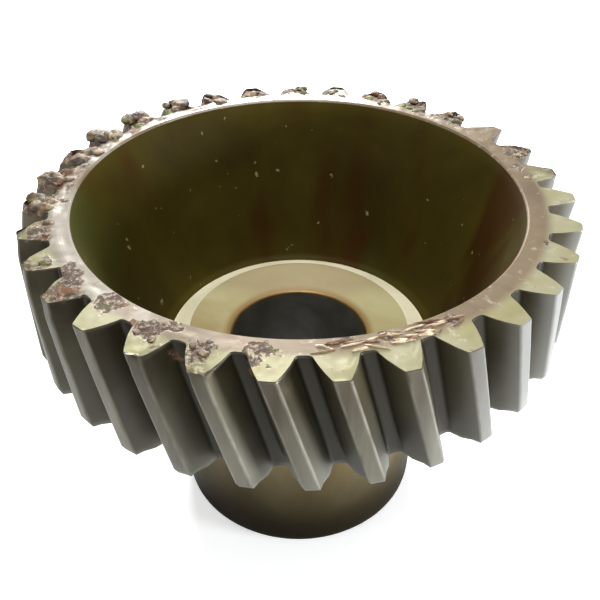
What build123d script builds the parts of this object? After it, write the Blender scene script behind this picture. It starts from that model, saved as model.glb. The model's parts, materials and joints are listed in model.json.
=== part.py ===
from build123d import *

import os
from math import acos, atan, cos, degrees, pi, radians, sin, tan

# Cup-shaped helical gear on a long bored hub, turned from one casting and hobbed.
#
# One solid. The hub stands on Z = 0 and the toothed rim is at the top, open side up.
# All sizes are millimetres. The gear's axis is +Z and one tooth is centred on +X at the rim face.

# Tooth system: stub depth, as cut for heavy herringbone and helical drives.
TEETH = 31
NORMAL_MODULE = 6.0
HELIX_ANGLE = 15.0
NORMAL_PRESSURE_ANGLE = 25.0
ADDENDUM = 0.8 * NORMAL_MODULE
DEDENDUM = 1.0 * NORMAL_MODULE
ROOT_FILLET = 1.3
FACE_WIDTH = 46.0

# Overall body.
OVERALL_HEIGHT = 142.5
BORE_RADIUS = 28.0
BORE_CHAMFER = 1.5

# Rim and cup.
RIM_WALL = 8.0
RIM_EDGE_CHAMFER = 0.8
CUP_DEPTH = 69.5
CUP_FLOOR_RADIUS = 57.0
CUP_WALL = 9.0
CUP_SHOULDER_CHAMFER = 5.0
CUP_GROOVE_ROUND = 3.0

# Machined boss at the foot of the cup: a bevelled ring, dished towards the bore.
BOSS_BEVEL_WIDTH = 12.0
BOSS_CREST_RADIUS = CUP_FLOOR_RADIUS - BOSS_BEVEL_WIDTH
BOSS_CREST_RISE = 6.0
BOSS_DISH = 4.0
BOSS_LIP_CHAMFER = 1.0

# Hub below the cup.
HUB_INSET = 6.0
HUB_END_RADIUS = CUP_FLOOR_RADIUS - HUB_INSET
HUB_DRAFT_ANGLE = 1.5
HUB_END_ROUND = 5.0
HUB_ROOT_ROUND = 4.0
WEB_THICKNESS = 10.0

# Ends of the teeth.
TOOTH_END_CHAMFER = 2.2
TOOTH_END_SLOPE = 0.45
FLANK_END_CHAMFER = 1.4
CUTTER_OVERRUN = 2.0

# Corners knocked off the rim end of the teeth: tooth number, side (1 is the anticlockwise corner,
# -1 the clockwise one), then how far the break reaches inward, along the tip and down the tooth.
BREAKS = [
    (2, 1, 3.0, 4.0, 2.0),
    (4, -1, 3.6, 6.0, 3.0),
    (5, 1, 3.2, 5.0, 2.6),
    (6, -1, 2.4, 4.0, 2.4),
    (8, 1, 4.0, 8.0, 3.2),
    (10, -1, 3.4, 6.0, 2.8),
    (11, 1, 4.6, 9.0, 4.0),
    (12, -1, 4.2, 7.0, 3.2),
    (13, 1, 4.4, 8.0, 3.4),
    (14, 1, 5.0, 9.0, 4.2),
    (15, -1, 3.8, 6.0, 3.0),
    (16, 1, 3.0, 5.0, 2.4),
    (21, 1, 2.0, 6.0, 1.6),
    (22, 1, 2.2, 3.2, 1.6),
]
BREAK_BLOCK = 14.0

TRANSVERSE_MODULE = NORMAL_MODULE / cos(radians(HELIX_ANGLE))
TRANSVERSE_PRESSURE_ANGLE = atan(tan(radians(NORMAL_PRESSURE_ANGLE)) / cos(radians(HELIX_ANGLE)))
PITCH_RADIUS = TRANSVERSE_MODULE * TEETH / 2
BASE_RADIUS = PITCH_RADIUS * cos(TRANSVERSE_PRESSURE_ANGLE)
TIP_RADIUS = PITCH_RADIUS + ADDENDUM
ROOT_RADIUS = PITCH_RADIUS - DEDENDUM
TOOTH_STEP = 360.0 / TEETH
RIM_FOOT = OVERALL_HEIGHT - FACE_WIDTH
RIM_RADIUS = ROOT_RADIUS - RIM_WALL


def involute(angle):
    """The involute function of a pressure angle in radians."""
    return tan(angle) - angle


def gap_half_angle(radius):
    """Half the angle, in radians, that the space between two teeth spans at a radius."""
    here = acos(min(1.0, BASE_RADIUS / radius))
    tooth = pi / (2 * TEETH) + involute(TRANSVERSE_PRESSURE_ANGLE) - involute(here)
    return pi / TEETH - tooth


def twist(length):
    """Degrees that the helix turns over an axial length: a left-hand tooth goes clockwise upwards."""
    return -degrees(length * tan(radians(HELIX_ANGLE)) / PITCH_RADIUS)


def gap_outline(widening=0.0):
    """The space between two teeth, square to the axis and centred on +X, on the XY plane."""
    root = ROOT_RADIUS - widening
    outside = TIP_RADIUS + CUTTER_OVERRUN
    radii = [root, (root + PITCH_RADIUS) / 2, PITCH_RADIUS, TIP_RADIUS, outside]

    def flank_point(radius, side):
        angle = gap_half_angle(max(radius, BASE_RADIUS)) + widening / radius
        return Vector(radius * cos(side * angle), radius * sin(side * angle))

    upper = Spline(*[flank_point(r, 1) for r in radii])
    lower = Spline(*[flank_point(r, -1) for r in radii])
    mouth = Line(flank_point(outside, 1), flank_point(outside, -1))
    floor = ThreePointArc(flank_point(root, -1), (root, 0), flank_point(root, 1))
    outline = make_face(Wire([upper, mouth, lower, floor]))
    corners = outline.vertices().sort_by(Axis.X)[:2]
    return fillet(corners, ROOT_FILLET)


def hob():
    """The helical cutter body that opens one tooth space over the whole face."""
    length = FACE_WIDTH + 2 * CUTTER_OVERRUN
    start = RIM_FOOT - CUTTER_OVERRUN
    turn = twist(length)
    at_start = twist(start - OVERALL_HEIGHT) + TOOTH_STEP / 2
    section = gap_outline().face().outer_wire()
    tool = Solid.extrude_linear_with_rotation(section, (0, 0, 0), (0, 0, length), turn)
    return Pos(0, 0, start) * Rot(0, 0, at_start) * tool


def end_bevel():
    """The bevel cutter body that breaks the sharp edge of one tooth space at the rim's foot."""
    top = RIM_FOOT + FLANK_END_CHAMFER
    foot = RIM_FOOT - FLANK_END_CHAMFER
    middle_turn = twist(RIM_FOOT - OVERALL_HEIGHT) + TOOTH_STEP / 2
    narrow = Pos(0, 0, top) * gap_outline()
    wide = Pos(0, 0, foot) * gap_outline(2 * FLANK_END_CHAMFER)
    return Rot(0, 0, middle_turn) * loft([narrow.face(), wide.face()])


def blank():
    """The turned blank: bored hub, cup and plain rim, as half a section swung round the axis."""
    floor_z = OVERALL_HEIGHT - CUP_DEPTH
    crest_z = floor_z + BOSS_CREST_RISE
    lip_z = crest_z - BOSS_DISH
    cup_slope = (RIM_RADIUS - CUP_FLOOR_RADIUS) / CUP_DEPTH
    shoulder_z = floor_z - WEB_THICKNESS
    cup_outside_at_rim = CUP_FLOOR_RADIUS + cup_slope * (RIM_FOOT - floor_z) + CUP_WALL
    cup_outside_at_web = CUP_FLOOR_RADIUS + cup_slope * (shoulder_z - floor_z) + CUP_WALL
    hub_top_radius = HUB_END_RADIUS + shoulder_z * tan(radians(HUB_DRAFT_ANGLE))
    end_cut = TOOTH_END_CHAMFER * TOOTH_END_SLOPE
    step = cup_outside_at_web - hub_top_radius

    hub_end = (HUB_END_RADIUS, 0)
    hub_root = (hub_top_radius, shoulder_z)
    shoulder = (cup_outside_at_web, shoulder_z)
    groove = (CUP_FLOOR_RADIUS, floor_z)
    lip = (BORE_RADIUS, lip_z)
    outline = Polyline(
        (BORE_RADIUS + BORE_CHAMFER, 0),
        hub_end,
        hub_root,
        shoulder,
        (cup_outside_at_rim, RIM_FOOT),
        (TIP_RADIUS - end_cut, RIM_FOOT),
        (TIP_RADIUS, RIM_FOOT + TOOTH_END_CHAMFER),
        (TIP_RADIUS, OVERALL_HEIGHT),
        (RIM_RADIUS + RIM_EDGE_CHAMFER, OVERALL_HEIGHT),
        (RIM_RADIUS, OVERALL_HEIGHT - RIM_EDGE_CHAMFER),
        groove,
        (BOSS_CREST_RADIUS, crest_z),
        lip,
        (BORE_RADIUS, BORE_CHAMFER),
        close=True,
    )
    section = make_face(outline)
    rounds = [
        (hub_end, HUB_END_ROUND),
        (hub_root, min(HUB_ROOT_ROUND, 0.45 * step)),
        (groove, CUP_GROOVE_ROUND),
    ]
    for place, size in rounds:
        corner = section.vertices().sort_by_distance((*place, 0))[0]
        section = fillet(corner, size)
    chamfers = [
        (shoulder, min(CUP_SHOULDER_CHAMFER, 0.55 * step)),
        (lip, BOSS_LIP_CHAMFER),
    ]
    for place, size in chamfers:
        corner = section.vertices().sort_by_distance((*place, 0))[0]
        section = chamfer(corner, size)
    return revolve(Rot(90, 0, 0) * section, Axis.Z)


def tooth_angle(number):
    """Where a tooth's middle is at the rim face, in degrees from +X, anticlockwise from above."""
    return number * TOOTH_STEP


def break_cutter(number, side, inward, along, down):
    """A block whose foot lies on the broken face of one tooth corner, and which takes the corner off."""
    tip_half_width = TIP_RADIUS * (pi / TEETH - gap_half_angle(TIP_RADIUS))
    corner = Vector(TIP_RADIUS, side * tip_half_width, OVERALL_HEIGHT)
    slope = Vector(1 / inward, side / along, 1 / down)
    foot = corner - slope / slope.length**2
    block = Box(BREAK_BLOCK, BREAK_BLOCK, BREAK_BLOCK, align=(Align.CENTER, Align.CENTER, Align.MIN))
    return Rot(0, 0, tooth_angle(number)) * Plane(foot, z_dir=slope) * block


def gear():
    """The finished gear: the blank with its tooth spaces cut, their ends bevelled and corners broken."""
    body = blank()
    cutter, bevel = hob(), end_bevel()
    spaces = [Rot(0, 0, tooth_angle(n)) * cutter for n in range(TEETH)]
    bevels = [Rot(0, 0, tooth_angle(n)) * bevel for n in range(TEETH)]
    body = body.cut(*spaces)
    body = body.cut(*bevels)
    return body.cut(*[break_cutter(*one) for one in BREAKS])


os.makedirs("parts", exist_ok=True)
finished = gear()
export_step(finished, "parts/helical_gear.step")
print("tip radius", round(TIP_RADIUS, 2), "root radius", round(ROOT_RADIUS, 2), "rim bore", round(RIM_RADIUS, 2))
print("solids", len(finished.solids()), "volume", round(finished.volume), "faces", len(finished.faces()))
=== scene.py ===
"""Looks of a worn, cup-shaped helical gear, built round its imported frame.

The visible gear is one mesh, laid out as a grid: columns run round the axis and follow the tooth
outline, rows run round the half section from the bore, over the cup and the rim, down the teeth and
back along the hub. The rim end carries the breaks, scale and caked dirt of a gear long out of use.
"""

import json
import math
import random

import bmesh
import bpy
import numpy as np
from mathutils import Matrix, Vector, noise


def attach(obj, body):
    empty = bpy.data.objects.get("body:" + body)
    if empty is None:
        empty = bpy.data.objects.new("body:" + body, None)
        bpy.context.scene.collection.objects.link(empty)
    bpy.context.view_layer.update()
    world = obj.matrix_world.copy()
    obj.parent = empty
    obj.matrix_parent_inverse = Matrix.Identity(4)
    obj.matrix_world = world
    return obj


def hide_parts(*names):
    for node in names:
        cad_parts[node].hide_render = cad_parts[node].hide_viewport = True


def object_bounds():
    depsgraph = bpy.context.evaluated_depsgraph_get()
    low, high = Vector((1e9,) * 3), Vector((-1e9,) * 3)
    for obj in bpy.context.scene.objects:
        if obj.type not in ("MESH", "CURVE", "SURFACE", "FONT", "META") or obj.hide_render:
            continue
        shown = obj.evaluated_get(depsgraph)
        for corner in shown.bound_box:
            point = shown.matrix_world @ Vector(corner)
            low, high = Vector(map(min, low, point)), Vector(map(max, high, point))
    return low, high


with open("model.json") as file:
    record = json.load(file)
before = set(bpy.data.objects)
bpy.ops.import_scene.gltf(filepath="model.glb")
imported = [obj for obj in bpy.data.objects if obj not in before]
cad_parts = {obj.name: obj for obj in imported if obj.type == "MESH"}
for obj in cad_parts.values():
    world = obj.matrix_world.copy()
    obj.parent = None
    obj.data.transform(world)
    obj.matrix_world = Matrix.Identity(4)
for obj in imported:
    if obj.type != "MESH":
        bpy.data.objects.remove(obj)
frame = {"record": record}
cad_low, cad_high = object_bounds()

# ---------------------------------------------------------------- sizes, in metres
MM = 0.001
TEETH = 31
MODULE = 6.0 * MM
HELIX = math.radians(15.0)
NORMAL_PRESSURE = math.radians(25.0)
ROOT_FILLET = 1.3 * MM
FACE_WIDTH = 46.0 * MM
RIM_WALL = 8.0 * MM
RIM_EDGE = 0.8 * MM
CUP_DEPTH = 69.5 * MM
CUP_FLOOR_RADIUS = 57.0 * MM
CUP_WALL = 9.0 * MM
CREST_RADIUS = 45.0 * MM
CREST_RISE = 6.0 * MM
BOSS_DISH = 4.0 * MM
HUB_END_RADIUS = 51.0 * MM
HUB_DRAFT = math.radians(1.5)
HUB_END_ROUND = 5.0 * MM
WEB = 10.0 * MM
BORE_CHAMFER = 1.5 * MM
END_CHAMFER = 2.2 * MM
END_SLOPE = 0.45
SHOULDER_CHAMFER = 5.0 * MM
HUB_ROOT_ROUND = 4.0 * MM
GROOVE_ROUND = 3.0 * MM
CREST_ROUND = 1.2 * MM
LIP_ROUND = 1.0 * MM
TIP_ROUND = 0.3 * MM
RIM_FACE_ROUND = 0.35 * MM
WORN_DEPTH = 9.0 * MM
BREAK_REACH = 11.0 * MM

# Shares of full brightness: the surroundings' light, and the floor's lift towards white.
AMBIENT = 0.45
FLOOR_LIFT = 0.52

TOP = cad_high.z
BORE = frame["record"]["mounts"][0]["dims"]["r_mm"] * MM
TRANSVERSE_MODULE = MODULE / math.cos(HELIX)
TRANSVERSE_PRESSURE = math.atan(math.tan(NORMAL_PRESSURE) / math.cos(HELIX))
PITCH_RADIUS = TRANSVERSE_MODULE * TEETH / 2
BASE_RADIUS = PITCH_RADIUS * math.cos(TRANSVERSE_PRESSURE)
TIP_RADIUS = PITCH_RADIUS + 0.8 * MODULE
ROOT_RADIUS = PITCH_RADIUS - MODULE
RIM_FOOT = TOP - FACE_WIDTH
RIM_RADIUS = ROOT_RADIUS - RIM_WALL
TOOTH_STEP = 2 * math.pi / TEETH

# Corners knocked off the rim end: tooth, side, and how far the break reaches inward, along the tip
# and down, in millimetres.
BREAKS = [
    (2, 1, 3.0, 4.0, 2.0),
    (4, -1, 3.6, 6.0, 3.0),
    (5, 1, 3.2, 5.0, 2.6),
    (6, -1, 2.4, 4.0, 2.4),
    (8, 1, 4.0, 8.0, 3.2),
    (10, -1, 3.4, 6.0, 2.8),
    (11, 1, 4.6, 9.0, 4.0),
    (12, -1, 4.2, 7.0, 3.2),
    (13, 1, 4.4, 8.0, 3.4),
    (14, 1, 5.0, 9.0, 4.2),
    (15, -1, 3.8, 6.0, 3.0),
    (16, 1, 3.0, 5.0, 2.4),
    (21, 1, 2.0, 6.0, 1.6),
    (22, 1, 2.2, 3.2, 1.6),
]


# ---------------------------------------------------------------- tooth outline
def involute(angle):
    """The involute function of a pressure angle."""
    return math.tan(angle) - angle


def half_tooth(radius):
    """Half the angle that a tooth spans at a radius."""
    here = math.acos(min(1.0, BASE_RADIUS / radius))
    return math.pi / (2 * TEETH) + involute(TRANSVERSE_PRESSURE) - involute(here)


def helix_turn(z):
    """How far the teeth have turned at a height, from where they stand at the rim face."""
    return (TOP - z) * math.tan(HELIX) / PITCH_RADIUS


def tooth_outline():
    """Radius, angle and edge sharpness of one tooth from space middle to space middle."""
    fillet_top = ROOT_RADIUS + ROOT_FILLET
    floor_end = half_tooth(ROOT_RADIUS) + ROOT_FILLET / ROOT_RADIUS
    half = [(ROOT_RADIUS, -TOOTH_STEP / 2, 0.0), (ROOT_RADIUS, -floor_end, 0.0)]
    for share in (0.35, 0.7):
        radius = ROOT_RADIUS + ROOT_FILLET * (1 - math.cos(share * math.pi / 2))
        angle = floor_end + (half_tooth(fillet_top) - floor_end) * math.sin(share * math.pi / 2)
        half.append((radius, -angle, 0.0))
    for share in (0.0, 0.33, 0.66, 0.93, 1.0):
        radius = fillet_top + share * (TIP_RADIUS - TIP_ROUND - fillet_top)
        half.append((radius, -half_tooth(radius), 1.0 if share == 1.0 else 0.0))
    tip_angle = half_tooth(TIP_RADIUS)
    for inset, edge in ((TIP_ROUND, 1.0), (3 * TIP_ROUND, 0.0), (6 * TIP_ROUND, 0.0)):
        half.append((TIP_RADIUS, -tip_angle + inset / TIP_RADIUS, edge))
    mirrored = [(r, -a, e) for r, a, e in reversed(half[1:])]
    return half + mirrored


OUTLINE = tooth_outline()
COLUMNS = TEETH * len(OUTLINE)


def column_table():
    """Radius, angle and edge sharpness of every column round the gear at the rim face."""
    rows = []
    for tooth in range(TEETH):
        rows += [(r, a + tooth * TOOTH_STEP, e) for r, a, e in OUTLINE]
    return np.array(rows).T


# ---------------------------------------------------------------- half section
def steps(start, end, count, ease=1.0):
    """count values after start, up to and including end; ease over 1 packs them near start."""
    share = (np.arange(1, count + 1) / count) ** ease
    return [start + (end - start) * float(s) for s in share]


def line(a, b, count, ease=1.0):
    """Section points after a, up to b."""
    return list(zip(steps(a[0], b[0], count, ease), steps(a[1], b[1], count, ease)))


def rounded(a, corner, b, size, count):
    """Section points round a corner between a and b, of a given radius."""
    a, corner, b = (np.array(p, float) for p in (a, corner, b))
    before = (a - corner) / np.linalg.norm(a - corner)
    after = (b - corner) / np.linalg.norm(b - corner)
    half = math.acos(max(-1.0, min(1.0, float(before @ after)))) / 2
    reach = size / math.tan(half)
    start, end = corner + before * reach, corner + after * reach
    middle = (before + after) / np.linalg.norm(before + after)
    centre = corner + middle * (size / math.sin(half))
    points = []
    for k in range(count + 1):
        direction = (start - centre) * (1 - k / count) + (end - centre) * (k / count)
        points.append(tuple(centre + direction / np.linalg.norm(direction) * size))
    return points


def chamfered(a, corner, b, size):
    """Section points of a flat cut across a corner between a and b."""
    a, corner, b = (np.array(p, float) for p in (a, corner, b))
    before = (a - corner) / np.linalg.norm(a - corner)
    after = (b - corner) / np.linalg.norm(b - corner)
    return [tuple(corner + before * size), tuple(corner + after * size)]


def inner_section():
    """Section points from the bore's foot up over the boss and the cup to the rim's inner edge."""
    floor_z = TOP - CUP_DEPTH
    crest_z = floor_z + CREST_RISE
    lip_z = crest_z - BOSS_DISH
    bore_foot = (BORE, BORE_CHAMFER)
    lip = (BORE, lip_z)
    crest = (CREST_RADIUS, crest_z)
    groove = (CUP_FLOOR_RADIUS, floor_z)
    rim_under = (RIM_RADIUS, TOP - RIM_EDGE)
    rim_edge = (RIM_RADIUS + RIM_EDGE, TOP)
    lip_round = rounded(bore_foot, lip, crest, LIP_ROUND, 3)
    crest_round = rounded(lip, crest, groove, CREST_ROUND, 3)
    groove_round = rounded(crest, groove, rim_under, GROOVE_ROUND, 4)
    path = [(*bore_foot, "bore")]
    path += [(*p, "bore") for p in line(bore_foot, lip_round[0], 6)]
    path += [(*p, "boss_edge") for p in lip_round[1:]]
    path += [(*p, "boss") for p in line(lip_round[-1], crest_round[0], 6)]
    path += [(*p, "boss") for p in crest_round[1:]]
    path += [(*p, "bevel") for p in line(crest_round[-1], groove_round[0], 4)]
    path += [(*p, "cup") for p in groove_round[1:]]
    path += [(*p, "cup") for p in line(groove_round[-1], rim_under, 14)]
    path += [(*p, "rim") for p in line(rim_under, rim_edge, 2)]
    return path


def outer_section():
    """Section points from under the rim down the cup's outside and the hub to the bore's foot."""
    floor_z = TOP - CUP_DEPTH
    slope = (RIM_RADIUS - CUP_FLOOR_RADIUS) / CUP_DEPTH
    web_z = floor_z - WEB
    under_rim = (CUP_FLOOR_RADIUS + slope * (RIM_FOOT - floor_z) + CUP_WALL, RIM_FOOT)
    shoulder = (CUP_FLOOR_RADIUS + slope * (web_z - floor_z) + CUP_WALL, web_z)
    hub_root = (HUB_END_RADIUS + web_z * math.tan(HUB_DRAFT), web_z)
    hub_end = (HUB_END_RADIUS, 0.0)
    bore_end = (BORE + BORE_CHAMFER, 0.0)
    shoulder_cut = chamfered(under_rim, shoulder, hub_root, SHOULDER_CHAMFER)
    root_round = rounded(shoulder, hub_root, hub_end, HUB_ROOT_ROUND, 4)
    end_round = rounded(hub_root, hub_end, bore_end, HUB_END_ROUND, 4)
    path = [(*under_rim, "teeth")]
    path += [(*p, "hub") for p in line(under_rim, shoulder_cut[0], 4)]
    path += [(*p, "hub") for p in shoulder_cut[1:]]
    path += [(*p, "hub") for p in root_round]
    path += [(*p, "hub") for p in line(root_round[-1], end_round[0], 6)]
    path += [(*p, "hub") for p in end_round[1:]]
    path += [(*p, "hub_end") for p in line(end_round[-1], bore_end, 3)]
    return path


# ---------------------------------------------------------------- wear
def smooth(low, high, x):
    """0 below low, 1 above high, and an even curve between."""
    t = np.clip((x - low) / (high - low), 0.0, 1.0)
    return t * t * (3 - 2 * t)


def bump_round(angle, middle, spread):
    """1 at an angle in degrees round the gear, falling to 0 at spread degrees either side."""
    away = np.abs((np.degrees(angle) - middle + 180.0) % 360.0 - 180.0)
    return 1.0 - smooth(spread * 0.45, spread, away)


# Where the rim end has rotted: middle and spread in degrees round the gear, and how badly, 0 to 1.
ROT = [
    (152.0, 58.0, 1.0),
    (100.0, 26.0, 0.80),
    (60.0, 30.0, 0.80),
    (23.0, 8.0, 0.60),
    (203.0, 14.0, 0.55),
    (221.0, 8.0, 0.50),
    (250.0, 12.0, 0.42),
    (290.0, 16.0, 0.22),
    (12.0, 6.0, 0.50),
]

# Patches of rust on the ring: angle in degrees, distance from the axis and size in millimetres,
# and strength.
PATCHES = [
    (266.0, 88.0, 6.0, 1.0), (263.5, 93.0, 3.2, 0.8), (254.0, 92.0, 5.5, 0.8),
    (248.0, 86.5, 6.0, 0.75), (243.0, 89.0, 6.0, 0.7), (231.0, 87.0, 6.0, 0.7),
    (221.5, 95.0, 7.0, 0.75), (216.0, 88.0, 6.0, 0.7), (282.0, 84.5, 2.6, 0.6),
    (289.0, 85.5, 3.0, 0.8), (296.0, 85.0, 3.2, 0.8), (303.0, 86.5, 2.6, 0.7),
    (340.0, 90.0, 2.2, 0.6), (14.0, 86.0, 3.0, 0.6), (31.0, 88.0, 3.0, 0.6),
    (186.0, 85.5, 3.0, 0.7),
]


def decay(angle):
    """How far the rim end has rotted and caked round the gear: most at the back left."""
    worst = np.zeros_like(angle)
    for middle, spread, strength in ROT:
        worst = np.maximum(worst, strength * bump_round(angle, middle, spread))
    return worst


def patched(radius, angle, ragged):
    """How rusty the ring is under its patches, with ragged edges."""
    worst = np.zeros_like(angle)
    for middle, distance, size, strength in PATCHES:
        turn = (angle - math.radians(middle) + math.pi) % (2 * math.pi) - math.pi
        away = np.hypot(radius - distance * MM, distance * MM * turn) / (size * MM)
        worst = np.maximum(worst, strength * (1 - smooth(0.35, 1.15, away + 0.75 * ragged)))
    return worst


def fractal(points, size, octaves, seed):
    """Seeded fractal noise from -1 to 1 at each point, for features of about that size."""
    offset = Vector((seed * 7.31, seed * 3.17, seed * 5.73))
    return np.array([noise.fractal(Vector(p) / size + offset, 1.0, 2.1, octaves) for p in points])


def nodules(points, size, seed):
    """0 to 1 rounded lumps, each about that size across."""
    offset = Vector((seed * 2.9, seed * 8.1, seed * 4.3))
    return np.array(
        [1.0 - min(1.0, noise.voronoi(Vector(p) / size + offset)[0][0] * 1.3) for p in points]
    )


def break_corners(points, roughness):
    """Presses the points of the broken tooth corners back onto their rough break faces."""
    tip_half = TIP_RADIUS * half_tooth(TIP_RADIUS)
    depth = np.zeros(len(points))
    for tooth, side, inward, along, down in BREAKS:
        turn = tooth * TOOTH_STEP
        out = np.array([math.cos(turn), math.sin(turn), 0.0])
        across = np.array([-math.sin(turn), math.cos(turn), 0.0])
        corner = out * TIP_RADIUS + across * side * tip_half + np.array([0, 0, TOP])
        slope = out / inward + across * side / along + np.array([0, 0, 1.0]) / down
        slope /= MM
        length = np.linalg.norm(slope)
        face = slope / length
        foot = corner - face / length
        near = np.linalg.norm(points - corner, axis=1) < BREAK_REACH
        proud = (points - foot) @ face + roughness
        cut = np.where(near, np.maximum(proud, 0.0), 0.0)
        points = points - cut[:, None] * face
        depth = np.maximum(depth, cut)
    return points, depth


# ---------------------------------------------------------------- the gear's mesh
RIM_ROWS = 15
SIDE_DENSE_ROWS = 9
SIDE_ROWS = 10
MATERIALS = ["bore", "boss_edge", "boss", "bevel", "cup", "rim", "teeth", "hub", "hub_end"]


def grid_rows():
    """Every row of the grid as (x, y, z arrays, material name, edge sharpness array)."""
    radius, angle, edge = column_table()
    even = np.linspace(-TOOTH_STEP / 2, 2 * math.pi - TOOTH_STEP / 2, COLUMNS, endpoint=False)
    even_foot = even + helix_turn(RIM_FOOT)
    rows = []

    def ring(r, a, z, name, sharp=0.0):
        z = np.full(COLUMNS, z) if np.isscalar(z) else z
        rows.append((r * np.cos(a), r * np.sin(a), z, name, np.broadcast_to(sharp, (COLUMNS,))))

    inner = inner_section()
    for r, z, name in inner:
        ring(np.full(COLUMNS, r), even, z, name)
    start = inner[-1][0]
    for k in range(1, RIM_ROWS + 1):
        share = (k / RIM_ROWS) ** 0.9
        reach = radius - RIM_FACE_ROUND
        blend = float(smooth(0.0, 0.55, np.array(share)))
        ring(start + (reach - start) * share, even + (angle - even) * blend, TOP, "rim")
    edge_low = TOP - RIM_FACE_ROUND
    ring(radius, angle + helix_turn(edge_low), edge_low, "teeth", np.maximum(edge, 0.75))
    dense = steps(edge_low, TOP - WORN_DEPTH, SIDE_DENSE_ROWS, 1.25)
    foot_z = RIM_FOOT + END_CHAMFER
    for z in dense + steps(TOP - WORN_DEPTH, foot_z, SIDE_ROWS):
        ring(radius, angle + helix_turn(z), z, "teeth", edge)
    tooth_middle = np.repeat(np.arange(TEETH), len(OUTLINE)) * TOOTH_STEP
    for share in (0.5, 1.0):
        z = foot_z + (RIM_FOOT - foot_z) * share
        limit = TIP_RADIUS - END_CHAMFER * END_SLOPE * share
        shrink = 1.0 - 0.22 * share
        width = np.where(radius > PITCH_RADIUS, shrink, 1)
        narrowed = tooth_middle + (angle - tooth_middle) * width
        ring(np.minimum(radius, limit), narrowed + helix_turn(z), z, "teeth", np.maximum(edge, 0.8))
    outer = outer_section()
    foot = np.minimum(radius, TIP_RADIUS - END_CHAMFER * END_SLOPE)
    for share in (0.35, 0.7):
        blend = float(smooth(0.0, 0.9, np.array(share)))
        r = foot + (outer[0][0] - foot) * share
        a = (angle + helix_turn(RIM_FOOT)) * (1 - blend) + even_foot * blend
        ring(r, a, RIM_FOOT, "teeth")
    for r, z, name in outer:
        ring(np.full(COLUMNS, r), even_foot, z, name)
    return rows


def wear_rim_end(points):
    """Roughens, breaks and cakes the rim end. Gives the new points and the dirt mask."""
    radius = np.hypot(points[:, 0], points[:, 1])
    angle = np.arctan2(points[:, 1], points[:, 0])
    top_near = smooth(TOP - WORN_DEPTH, TOP - 0.2 * MM, points[:, 2])
    outside = smooth(RIM_RADIUS + 0.4 * MM, RIM_RADIUS + 3.0 * MM, radius)
    rot = decay(angle) * top_near * outside
    touched = top_near * smooth(RIM_RADIUS - 0.5 * MM, RIM_RADIUS + 0.5 * MM, radius) > 0
    where = np.nonzero(touched)[0]
    spots = points[where]
    coarse = fractal(spots, 9 * MM, 3, 1)
    fine = fractal(spots, 2.4 * MM, 3, 2)
    lumps = nodules(spots, 6.0 * MM, 3)
    rough = np.zeros(len(points))
    rough[where] = fine * 0.35 * MM * (0.3 + rot[where])
    points, depth = break_corners(points, rough)
    out = np.stack([np.cos(angle), np.sin(angle), np.zeros(len(points))], 1)
    facing_up = smooth(TOP - 0.9 * MM, TOP - 0.1 * MM, points[:, 2])
    tooth_part = smooth(ROOT_RADIUS - 3 * MM, ROOT_RADIUS + 2 * MM, radius)
    swell = rot[where]
    fallen = smooth(ROOT_RADIUS + 1 * MM, TIP_RADIUS, radius[where])
    sink = np.zeros(len(points))
    sink[where] = swell * (1.5 * (1 - lumps) + 0.6 * coarse + 0.4 * fine + 1.5 * fallen**2) * MM
    sink[where] += 0.10 * MM * np.maximum(fine, 0)
    away = sink[:, None] * (facing_up[:, None] * np.array([0, 0, 1.0]) * 1.2 + out * 0.6)
    points = points - away * (0.25 + 0.75 * tooth_part[:, None])
    dirt = np.zeros(len(points))
    on_ring = 0.45 + 0.55 * tooth_part[where]
    dirt[where] = np.clip(swell * on_ring * (0.45 + 0.9 * (coarse * 0.5 + 0.5)), 0, 1)
    dirt[where] = np.maximum(dirt[where], patched(radius[where], angle[where], coarse + 0.6 * fine))
    fresh = np.clip(depth / (0.8 * MM), 0, 1)
    return points, np.maximum(dirt, 0.8 * fresh)


def build_gear():
    """The whole gear as one closed grid of quads."""
    rows = grid_rows()
    count = len(rows)
    points = np.concatenate([np.stack([x, y, z], 1) for x, y, z, _, _ in rows])
    edge = np.concatenate([s for *_, s in rows])
    points, dirt = wear_rim_end(points)
    index = np.arange(count * COLUMNS).reshape(count, COLUMNS)
    below, above = index, np.roll(index, -1, axis=0)
    quads = np.stack([below, np.roll(below, -1, 1), np.roll(above, -1, 1), above], -1)
    mesh = bpy.data.meshes.new("helical_gear_finished")
    mesh.from_pydata(points.tolist(), [], quads.reshape(-1, 4).tolist())
    names = [rows[(k + 1) % count][3] for k in range(count)]
    slots = np.repeat([MATERIALS.index(n) for n in names], COLUMNS)
    mesh.polygons.foreach_set("material_index", slots.astype(np.int32))
    for label, values in (("dirt", dirt), ("edge", edge)):
        layer = mesh.attributes.new(label, "FLOAT", "POINT")
        layer.data.foreach_set("value", values.astype(np.float32))
    mesh.polygons.foreach_set("use_smooth", np.ones(len(mesh.polygons), bool))
    mesh.validate()
    piece = bpy.data.objects.new("gear_body", mesh)
    bpy.context.scene.collection.objects.link(piece)
    bpy.context.view_layer.objects.active = piece
    piece.select_set(True)
    mesh.set_sharp_from_angle(angle=math.radians(34))
    return piece


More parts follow.
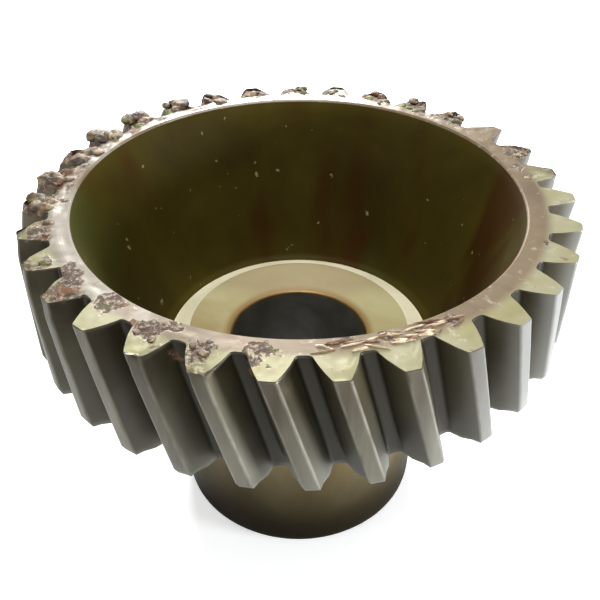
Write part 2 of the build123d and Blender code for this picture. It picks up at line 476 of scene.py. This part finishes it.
# Caked lumps: tooth, how many, their half width in millimetres and how far out on the tooth they
# reach.
CAKED = [
    (1, 2, 2.0, 0.8), (2, 3, 2.6, 0.7), (4, 5, 2.7, 1.0), (5, 6, 2.8, 1.0),
    (6, 6, 3.0, 1.0), (7, 5, 2.6, 1.0), (8, 4, 2.8, 1.0), (9, 4, 3.0, 1.0),
    (10, 5, 4.0, 1.0), (11, 5, 4.8, 1.0), (12, 5, 5.0, 1.0), (13, 5, 4.8, 1.0),
    (14, 5, 5.0, 1.0), (15, 5, 4.8, 1.0), (16, 5, 4.2, 1.0), (17, 4, 3.0, 0.9),
    (18, 2, 2.0, 0.6), (20, 2, 1.1, 0.1), (21, 3, 1.4, 0.7), (22, 5, 1.7, 0.6),
    (23, 9, 2.6, 0.3),
]
FLAKED_FROM, FLAKED_TO, FLAKES = math.radians(276.0), math.radians(304.0), 34


def rough_lump(centre, half_sizes, turn, seed):
    """Corner points of one rough closed lump, lying along a direction in the rim plane."""
    ball = bmesh.new()
    bmesh.ops.create_icosphere(ball, subdivisions=3, radius=1.0)
    lie = Matrix.Rotation(turn, 3, "Z")
    points = []
    for corner in ball.verts:
        way = corner.co.normalized()
        place_in_noise = Vector((seed * 3.7, seed, -seed))
        swell = 1 + 0.42 * noise.fractal(way * 1.1 + place_in_noise, 1.0, 2.0, 5)
        shaped = Vector([w * half for w, half in zip(way, half_sizes)]) * swell
        points.append(Vector(centre) + lie @ shaped)
    faces = [[v.index for v in face.verts] for face in ball.faces]
    ball.free()
    return points, faces


def build_lumps():
    """The lumps caked on the tooth ends and the splinters raised along the front of the ring."""
    dice = random.Random(31)
    places = []
    for tooth, count, half_width, reach in CAKED:
        for _ in range(count):
            outward = dice.random() * reach
            radius = ROOT_RADIUS - 3 * MM + outward * (TIP_RADIUS - ROOT_RADIUS + 0.5 * MM)
            on_tooth = radius > ROOT_RADIUS
            half = half_tooth(min(radius, TIP_RADIUS)) if on_tooth else TOOTH_STEP / 3
            spread = half * 0.8 * (1.0 if reach > 0.4 else 0.6)
            angle = tooth * TOOTH_STEP + dice.uniform(-spread, spread)
            size = half_width * dice.uniform(0.55, 1.0) * MM
            low = TOP - (1.0 * MM if reach > 0.8 else 0.25 * size)
            sizes = (size, size * dice.uniform(0.55, 0.9), size * (0.44 if reach > 0.8 else 0.24))
            places.append((radius, angle, low, sizes, angle + dice.uniform(-1.5, 1.5), 0))
    for _ in range(FLAKES):
        angle = dice.uniform(FLAKED_FROM, FLAKED_TO)
        radius = RIM_RADIUS + dice.uniform(2.0, 7.0) * MM
        length = dice.uniform(1.4, 4.4) * MM
        sizes = (length, dice.uniform(0.30, 0.60) * MM, dice.uniform(0.25, 0.5) * MM)
        lie = angle + math.pi / 2 + dice.uniform(-0.5, 0.3)
        places.append((radius, angle, TOP, sizes, lie, dice.choice((1, 2))))
    all_points, all_faces, slots = [], [], []
    for seed, (radius, angle, z, sizes, lie, slot) in enumerate(places):
        centre = (radius * math.cos(angle), radius * math.sin(angle), z)
        points, faces = rough_lump(centre, sizes, lie, seed + 1)
        all_faces += [[k + len(all_points) for k in face] for face in faces]
        all_points += [tuple(p) for p in points]
        slots += [slot] * len(faces)
    mesh = bpy.data.meshes.new("rim_scale")
    mesh.from_pydata(all_points, [], all_faces)
    mesh.polygons.foreach_set("material_index", slots)
    mesh.polygons.foreach_set("use_smooth", [True] * len(slots))
    piece = bpy.data.objects.new("rim_scale", mesh)
    bpy.context.scene.collection.objects.link(piece)
    return piece


# ---------------------------------------------------------------- shader helpers
def srgb(r, g, b):
    """A linear colour from red, green and blue sRGB values of 0 to 255."""
    def channel(v):
        v /= 255
        return v / 12.92 if v <= 0.04045 else ((v + 0.055) / 1.055) ** 2.4
    return (channel(r), channel(g), channel(b), 1.0)


class Tree:
    """Short calls for laying out the nodes of one material or group."""

    def __init__(self, tree):
        self.tree = tree

    def node(self, kind, inputs=None, **settings):
        made = self.tree.nodes.new(kind)
        for key, value in settings.items():
            setattr(made, key, value)
        self.fill(made, inputs or {})
        return made

    def fill(self, node, inputs):
        for key, value in inputs.items():
            if isinstance(value, bpy.types.NodeSocket):
                self.join(value, node.inputs[key])
            else:
                node.inputs[key].default_value = value

    def math(self, operation, a, b=0.0, clamp=False):
        made = self.node("ShaderNodeMath", {0: a, 1: b}, operation=operation, use_clamp=clamp)
        return made.outputs[0]

    def times(self, a, b):
        return self.math("MULTIPLY", a, b)

    def plus(self, a, b):
        return self.math("ADD", a, b)

    def ramp(self, value, low, high):
        limits = {0: value, 1: low, 2: high}
        made = self.node("ShaderNodeMapRange", limits, interpolation_type="SMOOTHSTEP")
        return made.outputs[0]

    def mix(self, share, a, b):
        made = self.node("ShaderNodeMix", {0: share, 6: a, 7: b}, data_type="RGBA")
        return made.outputs[2]

    def point(self):
        return self.node("ShaderNodeTexCoord").outputs["Object"]

    def axes(self):
        return self.node("ShaderNodeSeparateXYZ", {0: self.point()}).outputs

    def join(self, source, target):
        self.tree.links.new(source, target)

    def noise(self, scale, detail=4.0, rough=0.55, stretch=None, warp=0.0):
        spot = self.point()
        if stretch:
            spot = self.node("ShaderNodeMapping", {0: spot, 3: stretch}).outputs[0]
        cloud = {"Vector": spot, "Scale": scale, "Detail": detail, "Roughness": rough}
        made = self.node("ShaderNodeTexNoise", cloud | {"Distortion": warp})
        return made.outputs["Fac"]


def new_group(name, inputs, outputs):
    """A shader node group: inputs are (name, kind, default) and outputs are (name, kind)."""
    group = bpy.data.node_groups.new(name, "ShaderNodeTree")
    for label, kind, default in inputs:
        group.interface.new_socket(label, in_out="INPUT", socket_type=kind).default_value = default
    for label, kind in outputs:
        group.interface.new_socket(label, in_out="OUTPUT", socket_type=kind)
    tree = Tree(group)
    return group, tree, tree.node("NodeGroupInput"), tree.node("NodeGroupOutput")


def worn_edge_highlight_group():
    """Bare bright metal along the edges from wear, which is also a painted highlight along them."""
    group, t, given, out = new_group(
        "worn_edge_highlight",
        [("Colour", "NodeSocketColor", (0, 0, 0, 1)), ("Bright", "NodeSocketColor", (1, 1, 1, 1)),
         ("Amount", "NodeSocketFloat", 1.0)],
        [("Colour", "NodeSocketColor")],
    )
    edge = t.node("ShaderNodeAttribute", attribute_name="edge").outputs["Fac"]
    patchy = t.ramp(t.noise(120.0, 3.0), 0.22, 0.66)
    wear = t.times(patchy, given.outputs["Amount"])
    mask = t.math("MULTIPLY", t.math("POWER", edge, 1.6), wear, clamp=True)
    worn = t.mix(mask, given.outputs["Colour"], given.outputs["Bright"])
    t.join(worn, out.inputs["Colour"])
    return group


def stain_group():
    """Broad uneven tarnish: mixes two colours in clouds."""
    group, t, given, out = new_group(
        "stain",
        [("Colour", "NodeSocketColor", (0, 0, 0, 1)), ("Stain", "NodeSocketColor", (1, 1, 1, 1)),
         ("Scale", "NodeSocketFloat", 20.0), ("Low", "NodeSocketFloat", 0.4),
         ("High", "NodeSocketFloat", 0.7)],
        [("Colour", "NodeSocketColor")],
    )
    cloud = t.noise(given.outputs["Scale"], 5.0, 0.6, warp=0.6)
    limits = {0: cloud, 1: given.outputs["Low"], 2: given.outputs["High"]}
    mask = t.node("ShaderNodeMapRange", limits).outputs[0]
    clouded = t.mix(mask, given.outputs["Colour"], given.outputs["Stain"])
    t.join(clouded, out.inputs["Colour"])
    return group


def crust_group():
    """Rust, scale and moss where the dirt mask says, with its own height."""
    group, t, given, out = new_group(
        "crust",
        [("Colour", "NodeSocketColor", (0, 0, 0, 1)), ("Spread", "NodeSocketFloat", 0.5)],
        [("Colour", "NodeSocketColor"), ("Mask", "NodeSocketFloat"), ("Height", "NodeSocketFloat")],
    )
    dirt = t.node("ShaderNodeAttribute", attribute_name="dirt").outputs["Fac"]
    patches = t.noise(230.0, 6.0, 0.65, warp=0.8)
    gate = t.plus(t.times(dirt, 0.85), t.times(patches, 0.60))
    mask = t.ramp(t.plus(gate, t.times(given.outputs["Spread"], 0.2)), 0.60, 0.78)
    grain = t.noise(700.0, 6.0, 0.7)
    umber, ash = srgb(70, 50, 36), srgb(190, 172, 148)
    body = t.mix(t.ramp(grain, 0.46, 0.68), umber, ash)
    rusty = t.mix(t.ramp(t.noise(120.0, 4.0), 0.52, 0.64), body, srgb(112, 74, 44))
    black = t.mix(t.ramp(t.noise(260.0, 4.0, 0.6), 0.54, 0.68), rusty, srgb(70, 56, 42))
    moss = t.mix(t.ramp(t.noise(75.0, 3.0), 0.60, 0.70), black, srgb(84, 92, 34))
    t.join(t.mix(mask, given.outputs["Colour"], moss), out.inputs["Colour"])
    t.join(mask, out.inputs["Mask"])
    t.join(t.times(grain, mask), out.inputs["Height"])
    return group


WORN_EDGE_HIGHLIGHT, STAIN, CRUST = worn_edge_highlight_group(), stain_group(), crust_group()


def new_material(name):
    """A material with its Principled BSDF and the short node calls for it."""
    material = bpy.data.materials.new(name)
    material.use_nodes = True
    t = Tree(material.node_tree)
    shader = material.node_tree.nodes["Principled BSDF"]
    return material, t, shader


def place(t, group, inputs):
    """One shared group, with its own values."""
    return t.node("ShaderNodeGroup", inputs, node_tree=group).outputs


def stained(t, colour, stain, scale, low, high):
    """A colour with clouds of another; low and high are where the clouds begin and are full."""
    shares = {"Scale": scale, "Low": low, "High": high}
    return place(t, STAIN, {"Colour": colour, "Stain": stain} | shares)["Colour"]


def edges_worn_and_highlit(t, colour, bright, amount):
    """A colour with its edges made bright by wear and a painted highlight."""
    return place(t, WORN_EDGE_HIGHLIGHT, {"Colour": colour, "Bright": bright, "Amount": amount})["Colour"]


def finish_surface(t, shader, colour, roughness, height, strength, distance, metallic):
    """Joins the parts of a surface to its shader."""
    bump = t.node("ShaderNodeBump", {"Height": height, "Strength": strength, "Distance": distance})
    parts = {"Base Color": colour, "Roughness": roughness, "Metallic": metallic}
    t.fill(shader, parts | {"Normal": bump.outputs[0]})


def turned_marks(t, pitch):
    """Height of fine turning marks: rings round the axis, by distance from it and height."""
    rings = t.times(distance_from_axis(t), 1 / pitch)
    along = t.plus(rings, t.times(t.axes()[2], 1 / pitch))
    spot = t.node("ShaderNodeCombineXYZ", {0: along}).outputs[0]
    made = t.node("ShaderNodeTexNoise", {"Vector": spot, "Scale": 1.0, "Detail": 3.0})
    return made.outputs["Fac"]


def distance_from_axis(t):
    """How far a point lies from the gear's axis, in metres."""
    x, y, _ = t.axes()
    flat = t.node("ShaderNodeCombineXYZ", {0: x, 1: y}).outputs[0]
    return t.node("ShaderNodeVectorMath", {0: flat}, operation="LENGTH").outputs["Value"]


# ---------------------------------------------------------------- the gear's materials
def rim_face():
    """The faced rim: oxide on the ring, paler clean steel on the tooth ends with a painted
    yellow-green reflection on them except at the back right, dirt and scale, and edges bright from
    wear and a painted highlight.
    """
    material, t, shader = new_material("faced_rim")
    radius = distance_from_axis(t)
    on_tooth = t.ramp(radius, ROOT_RADIUS - 2.5 * MM, ROOT_RADIUS + 2.0 * MM)
    pale_ring = stained(t, srgb(158, 150, 137), srgb(124, 108, 86), 30.0, 0.46, 0.62)
    brown_ring = stained(t, srgb(124, 107, 82), srgb(102, 84, 62), 22.0, 0.42, 0.60)
    across = t.axes()[0]
    wavering = t.plus(across, t.times(t.noise(14.0, 4.0), 0.08))
    browned = t.ramp(wavering, 0.01, 0.07)
    ring = t.mix(browned, pale_ring, brown_ring)
    # Painted reflection: the tooth ends' pale yellow-green tone, left off the ends at the back
    # right.
    ends = stained(t, srgb(159, 155, 125), srgb(142, 136, 92), 34.0, 0.40, 0.66)
    back = t.axes()[1]
    back_right_ends = t.times(t.ramp(back, 0.012, 0.032), t.ramp(across, 0.02, 0.06))
    reflecting_ends = t.times(on_tooth, t.math("SUBTRACT", 1.0, back_right_ends))
    base = t.mix(reflecting_ends, ring, ends)
    scuffs = t.ramp(t.noise(240.0, 6.0, 0.7), 0.56, 0.74)
    scuffed = t.mix(t.times(scuffs, 0.6), base, srgb(204, 196, 178))
    spots = t.ramp(t.noise(150.0, 4.0, 0.6, warp=0.6), 0.64, 0.70)
    spotted = t.mix(t.times(spots, 0.8), scuffed, srgb(120, 88, 62))
    crust = place(t, CRUST, {"Colour": spotted, "Spread": 0.0})
    # Edges made bright: wear and a painted highlight.
    worn = edges_worn_and_highlit(t, crust["Colour"], srgb(240, 232, 210), 0.6)
    clean = t.math("SUBTRACT", 1.0, crust["Mask"])
    rough = t.plus(t.times(crust["Mask"], 0.36), 0.40)
    height = t.plus(crust["Height"], t.times(turned_marks(t, 0.5 * MM), 0.10))
    metal = t.times(clean, 0.30)
    finish_surface(t, shader, worn, rough, height, 0.7, 0.5 * MM, metal)
    return material


def tooth_sides():
    """The hobbed flanks: dark oiled steel, paler on the worn tip lands, bright along the edges from
    wear and a painted highlight, paler bluish grey on the right side from a painted reflection, and
    darker towards the roots.
    """
    material, t, shader = new_material("oiled_teeth")
    radius = distance_from_axis(t)
    flank = stained(t, srgb(72, 66, 46), srgb(48, 40, 22), 24.0, 0.42, 0.62)
    land = t.ramp(radius, TIP_RADIUS - 1.0 * MM, TIP_RADIUS - 0.2 * MM)
    streaks = t.ramp(t.noise(90.0, 4.0, 0.6, stretch=(1.0, 1.0, 0.12)), 0.35, 0.68)
    low_down = t.ramp(t.axes()[2], TOP - 4.0 * MM, RIM_FOOT + 2.0 * MM)
    land_high = t.mix(streaks, srgb(62, 53, 36), srgb(92, 86, 70))
    land_low = t.mix(streaks, srgb(86, 83, 68), srgb(118, 115, 102))
    across = t.axes()[0]
    # Painted reflection: the lands, and the flanks near the tips, paler bluish grey on the right
    # side of the gear.
    right_side_reflection = t.times(t.ramp(across, 0.03, 0.09), 0.6)
    land_colour = t.mix(right_side_reflection, t.mix(low_down, land_high, land_low), srgb(154, 156, 156))
    root = t.ramp(radius, ROOT_RADIUS + 2.4 * MM, ROOT_RADIUS + 0.2 * MM)
    paled = t.mix(t.times(low_down, 0.6), flank, srgb(98, 97, 88))
    right_flank_reflection = t.times(t.ramp(radius, PITCH_RADIUS - 2.0 * MM, TIP_RADIUS), right_side_reflection)
    flank_reflected = t.mix(right_flank_reflection, paled, srgb(138, 139, 134))
    # Darker towards the tooth roots.
    root_darkened = t.mix(t.times(root, 0.8), flank_reflected, srgb(42, 38, 28))
    base = t.mix(land, root_darkened, land_colour)
    crust = place(t, CRUST, {"Colour": base, "Spread": -0.4})
    # Edges made bright: wear and a painted highlight.
    worn = edges_worn_and_highlit(t, crust["Colour"], srgb(190, 188, 176), 0.18)
    rough = t.plus(t.times(t.noise(60.0, 4.0), 0.18), 0.34)
    rough = t.plus(rough, t.times(crust["Mask"], 0.3))
    marks = t.noise(420.0, 3.0, 0.5, stretch=(1.0, 1.0, 0.06))
    height = t.plus(t.times(marks, 0.16), crust["Height"])
    bare = t.math("SUBTRACT", 0.50, t.times(land, 0.20))
    metal = t.times(t.math("SUBTRACT", 1.0, crust["Mask"]), bare)
    finish_surface(t, shader, worn, rough, height, 0.45, 0.4 * MM, metal)
    return material


def cup_skin():
    """The cup's wall: old dark olive paint over a turned casting, with specks and faint rings."""
    material, t, shader = new_material("cup_paint")
    clouds = stained(t, srgb(68, 59, 14), srgb(52, 42, 8), 15.0, 0.36, 0.66)
    green = t.mix(t.ramp(t.noise(11.0, 3.0), 0.50, 0.68), clouds, srgb(56, 57, 20))
    runs = t.ramp(t.noise(22.0, 3.0, stretch=(1.0, 1.0, 0.18)), 0.54, 0.68)
    streaked = t.mix(t.times(runs, 0.8), green, srgb(56, 30, 5))
    specks = t.ramp(t.noise(210.0, 2.0, 0.5), 0.72, 0.77)
    colour = t.mix(specks, streaked, srgb(140, 128, 90))
    height = t.plus(t.times(turned_marks(t, 0.9 * MM), 0.4), t.noise(320.0, 4.0))
    rough = t.plus(t.times(t.noise(40.0, 4.0), 0.2), 0.50)
    shader.inputs["Specular IOR Level"].default_value = 0.08
    finish_surface(t, shader, colour, rough, height, 0.22, 0.3 * MM, 0.0)
    return material


def boss_face():
    """The boss: machined, straw coloured and satin, with turning rings, painted shade over its back
    part, and a brown inner edge.
    """
    material, t, shader = new_material("boss_machined")
    straw = stained(t, srgb(190, 182, 134), srgb(170, 150, 102), 16.0, 0.40, 0.64)
    # Painted shade: the back part of the boss face darker and pinker.
    back = t.axes()[1]
    clouded = t.plus(back, t.times(t.noise(30.0, 2.0), 0.02))
    back_painted_shade = t.times(t.ramp(clouded, 28.0 * MM, 42.0 * MM), 0.75)
    shaded_straw = t.mix(back_painted_shade, straw, srgb(162, 144, 106))
    inner = t.ramp(distance_from_axis(t), BORE + 4.5 * MM, BORE + 1.0 * MM)
    browned = t.mix(inner, shaded_straw, srgb(150, 118, 66))
    height = turned_marks(t, 0.35 * MM)
    rough = t.plus(t.times(t.noise(50.0, 4.0), 0.12), 0.40)
    finish_surface(t, shader, browned, rough, height, 0.10, 0.2 * MM, 0.12)
    return material


def boss_bevel():
    """The boss's bevel: paler and duller than its face; its pale tone is partly a painted
    highlight.
    """
    material, t, shader = new_material("boss_bevel")
    tone = stained(t, srgb(248, 240, 206), srgb(222, 213, 174), 30.0, 0.40, 0.64)
    finish_surface(t, shader, tone, 0.5, turned_marks(t, 0.4 * MM), 0.12, 0.2 * MM, 0.0)
    return material


def boss_edge():
    """The bore's lip, browned."""
    material, t, shader = new_material("bore_lip")
    tone = stained(t, srgb(150, 124, 72), srgb(110, 84, 42), 40.0, 0.40, 0.64)
    finish_surface(t, shader, tone, 0.38, t.noise(300.0, 3.0), 0.08, 0.2 * MM, 0.6)
    return material


def bore_wall():
    """The bore: honed dark steel."""
    material, t, shader = new_material("bore_honed")
    tone = stained(t, srgb(128, 128, 122), srgb(96, 90, 76), 30.0, 0.40, 0.66)
    finish_surface(t, shader, tone, 0.36, turned_marks(t, 0.3 * MM), 0.08, 0.2 * MM, 0.35)
    return material


def hub_skin():
    """The hub: brown-olive cast skin, darker towards its end by painted shade."""
    material, t, shader = new_material("hub_skin")
    height_up = t.axes()[2]
    upper = stained(t, srgb(124, 113, 84), srgb(98, 85, 57), 18.0, 0.38, 0.66)
    # Painted shade: darker towards the hub's end at the floor.
    base = t.mix(t.ramp(height_up, 6 * MM, 68 * MM), srgb(26, 20, 5), upper)
    shader.inputs["Specular IOR Level"].default_value = 0.06
    grain = t.noise(260.0, 5.0, 0.6)
    rough = t.plus(t.times(t.noise(60.0, 4.0), 0.2), 0.34)
    finish_surface(t, shader, base, rough, grain, 0.18, 0.3 * MM, 0.05)
    return material


def hub_end_face():
    """The hub's end: faced dark steel with a thin rust film."""
    material, t, shader = new_material("hub_end_faced")
    tone = stained(t, srgb(118, 112, 96), srgb(98, 72, 50), 40.0, 0.44, 0.60)
    finish_surface(t, shader, tone, 0.45, turned_marks(t, 0.5 * MM), 0.15, 0.3 * MM, 0.6)
    return material


def lump_material(name, pale, deep, soot):
    """Rust and scale in a pale and a deep tone, very rough, sooted by a share from 0 to 1."""
    material, t, shader = new_material(name)
    grain = t.noise(260.0, 6.0, 0.62, warp=0.5)
    body = t.mix(t.ramp(grain, 0.42, 0.60), deep, pale)
    rust = t.times(t.ramp(t.noise(140.0, 4.0), 0.52, 0.64), soot)
    black = t.times(t.ramp(t.noise(180.0, 5.0, 0.6), 0.47, 0.62), soot)
    moss = t.times(t.ramp(t.noise(60.0, 3.0), 0.55, 0.64), soot)
    rusted = t.mix(rust, body, srgb(102, 70, 42))
    mossed = t.mix(moss, rusted, srgb(92, 104, 34))
    colour = t.mix(black, mossed, srgb(36, 29, 22))
    finish_surface(t, shader, colour, 0.62, grain, 0.8, 0.6 * MM, 0.1)
    return material


def dress_lumps(piece):
    """Puts the materials on the lumps: caked scale, then pale and rusty splinters."""
    tones = [
        ("caked_scale", srgb(150, 130, 100), srgb(76, 58, 36), 0.80),
        ("bright_splinter", srgb(226, 214, 188), srgb(182, 160, 128), 0.0),
        ("rusty_splinter", srgb(146, 112, 82), srgb(98, 70, 46), 0.3),
    ]
    for tone in tones:
        piece.data.materials.append(lump_material(*tone))


def dress_gear(piece):
    """Puts the materials on the gear in the order of its slots."""
    makers = {
        "bore": bore_wall, "boss_edge": boss_edge, "boss": boss_face, "bevel": boss_bevel,
        "cup": cup_skin, "rim": rim_face, "teeth": tooth_sides, "hub": hub_skin,
        "hub_end": hub_end_face,
    }
    for name in MATERIALS:
        piece.data.materials.append(makers[name]())


# ---------------------------------------------------------------- floor, lights and camera
def floor_material():
    """Matt grey that looks white away from the shadow, and clear from below."""
    material = bpy.data.materials.new("pale_floor")
    material.use_nodes = True
    t = Tree(material.node_tree)
    shader = material.node_tree.nodes["Principled BSDF"]
    shader.inputs["Base Color"].default_value = (0.86, 0.86, 0.86, 1)
    shader.inputs["Roughness"].default_value = 0.9
    shader.inputs["Specular IOR Level"].default_value = 0.1
    shader.inputs["Emission Color"].default_value = (1, 1, 1, 1)
    far = t.ramp(distance_from_axis(t), 0.3, 1.5)
    lift = t.plus(FLOOR_LIFT, t.times(far, 1 - FLOOR_LIFT))
    seen = t.node("ShaderNodeLightPath").outputs["Is Camera Ray"]
    t.join(t.times(seen, lift), shader.inputs["Emission Strength"])
    below = t.node("ShaderNodeNewGeometry").outputs["Backfacing"]
    clear = t.node("ShaderNodeBsdfTransparent").outputs[0]
    both = t.node("ShaderNodeMixShader", {0: below, 1: shader.outputs[0], 2: clear})
    t.join(both.outputs[0], material.node_tree.nodes["Material Output"].inputs["Surface"])
    return material


def make_floor():
    """A wide pale floor under the gear."""
    half = 6.0
    mesh = bpy.data.meshes.new("floor")
    low = -0.05 * MM
    corners = [(-half, -half, low), (half, -half, low), (half, half, low), (-half, half, low)]
    mesh.from_pydata(corners, [], [(0, 1, 2, 3)])
    floor = bpy.data.objects.new("floor", mesh)
    bpy.context.scene.collection.objects.link(floor)
    mesh.materials.append(floor_material())


def make_lamp(name, place_at, aim, size, power, tint=(1.0, 1.0, 1.0)):
    """A soft square lamp at a place, aimed at a point."""
    data = bpy.data.lights.new(name, "AREA")
    data.size, data.energy, data.color = size, power, tint
    lamp = bpy.data.objects.new(name, data)
    bpy.context.scene.collection.objects.link(lamp)
    lamp.location = place_at
    lamp.rotation_euler = (Vector(aim) - Vector(place_at)).to_track_quat("-Z", "Y").to_euler()


def make_light():
    """Even pale surroundings, with lamps behind, above, low at the right and weakly at the left."""
    world = bpy.data.worlds.new("studio")
    bpy.context.scene.world = world
    world.use_nodes = True
    t = Tree(world.node_tree)
    back = world.node_tree.nodes["Background"]
    back.inputs["Color"].default_value = (1, 1, 1, 1)
    path = t.node("ShaderNodeLightPath").outputs["Is Camera Ray"]
    strength = t.plus(t.times(path, 1 - AMBIENT), AMBIENT)
    t.join(strength, back.inputs["Strength"])
    aim = (0, 0, 0.10)
    make_lamp("back_lamp", (-0.15, 1.25, 0.56), aim, 0.45, 27.0)
    make_lamp("top_lamp", (0.0, 0.05, 1.3), aim, 0.5, 11.0)
    make_lamp("right_lamp", (1.0, -0.34, 0.17), aim, 0.30, 19.0, (0.92, 0.96, 1.0))
    make_lamp("left_lamp", (-0.95, -0.45, 0.22), aim, 0.35, 2.0)


def make_camera():
    """A close camera, about 2.9 tip radii from the rim face, looking down into the cup."""
    distance = 2.924 * TIP_RADIUS
    rise = math.radians(30.08)
    azimuth = math.radians(-90.0 + 1.98)
    across = distance * math.cos(rise)
    data = bpy.data.cameras.new("camera")
    data.lens, data.sensor_width = 47.73, 36.0
    camera = bpy.data.objects.new("camera", data)
    bpy.context.scene.collection.objects.link(camera)
    camera.location = (
        across * math.cos(azimuth), across * math.sin(azimuth), TOP + distance * math.sin(rise)
    )
    target = Vector((0.0006, 0.0, TOP - 0.496 * TIP_RADIUS))
    camera.rotation_euler = (target - camera.location).to_track_quat("-Z", "Y").to_euler()
    bpy.context.scene.camera = camera


make_camera()
make_floor()
make_light()
gear = build_gear()
dress_gear(gear)
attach(gear, "root")
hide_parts("helical_gear")
scale = build_lumps()
dress_lumps(scale)
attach(scale, "root")

bpy.context.scene.view_settings.view_transform = "Standard"
